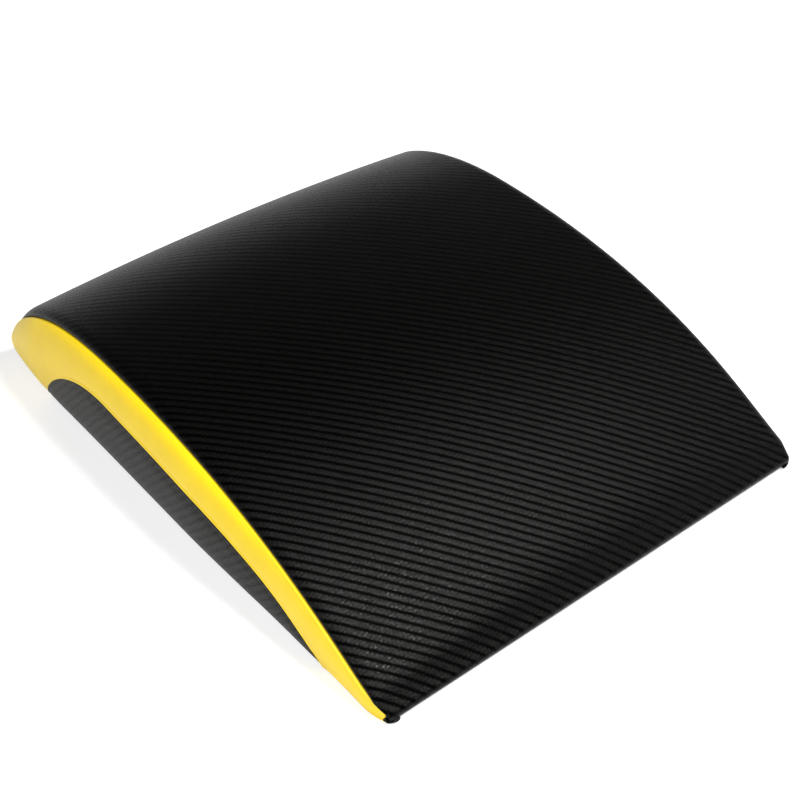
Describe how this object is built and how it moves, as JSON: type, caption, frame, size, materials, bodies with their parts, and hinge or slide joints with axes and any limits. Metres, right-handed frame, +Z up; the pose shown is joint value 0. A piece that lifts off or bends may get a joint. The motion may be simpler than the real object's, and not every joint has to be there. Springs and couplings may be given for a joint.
{
  "type": "ab mat",
  "caption": "Wedge-shaped sit-up mat with a crowned black top, puffed yellow sides with dark insets, and a zip across its thick end.",
  "frame": {"origin": "on the floor, under the middle of the mat's box", "axes": "+Y along the mat from the thin front edge to the thick end, +Z up, +X across to the right seen from the thin end"},
  "size_m": [0.3118, 0.3704, 0.0783],
  "materials": {
    "foam": "open-cell foam, matt, inside the cover",
    "black_carbon_vinyl": "vinyl-coated cloth embossed with a fine ribbed twill, satin",
    "grey_carbon_vinyl": "the same ribbed vinyl in dark grey, satin",
    "yellow_vinyl": "smooth vinyl-coated cloth, satin",
    "base_vinyl": "pebbled non-slip vinyl, matt",
    "zip_tape": "woven polyester tape",
    "zip_teeth": "moulded, slightly glossy",
    "zip_metal": "black enamel"
  },
  "bodies": {
    "cover": {"foam_core": "foam", "top_panel": "black_carbon_vinyl", "base_panel": "base_vinyl", "left_side_band": "yellow_vinyl", "right_side_band": "yellow_vinyl", "left_side_inset": "grey_carbon_vinyl", "right_side_inset": "grey_carbon_vinyl", "zip_tape_upper": "zip_tape", "zip_tape_lower": "zip_tape", "zip_teeth_upper": "zip_teeth", "zip_teeth_lower": "zip_teeth", "zip_top_stop_upper": "zip_teeth", "zip_top_stop_lower": "zip_teeth", "zip_bottom_stop": "zip_teeth"},
    "slider": {"zip_slider": "zip_metal"},
    "pull_tab": {"zip_pull_tab": "zip_metal"}
  },
  "joints": [
    {"name": "zip_slide", "type": "slide", "parent": "cover", "child": "slider", "axis": [1, 0, 0], "range_m": [0, 0.2263], "deforming": ["zip_teeth_upper", "zip_teeth_lower"]},
    {"name": "tab_hinge", "type": "hinge", "parent": "slider", "child": "pull_tab", "pos_m": [-0.1144, 0.18265, 0.02011], "axis": [0, -0.4911, 0.8711], "range_deg": [0, 180]}
  ]
}
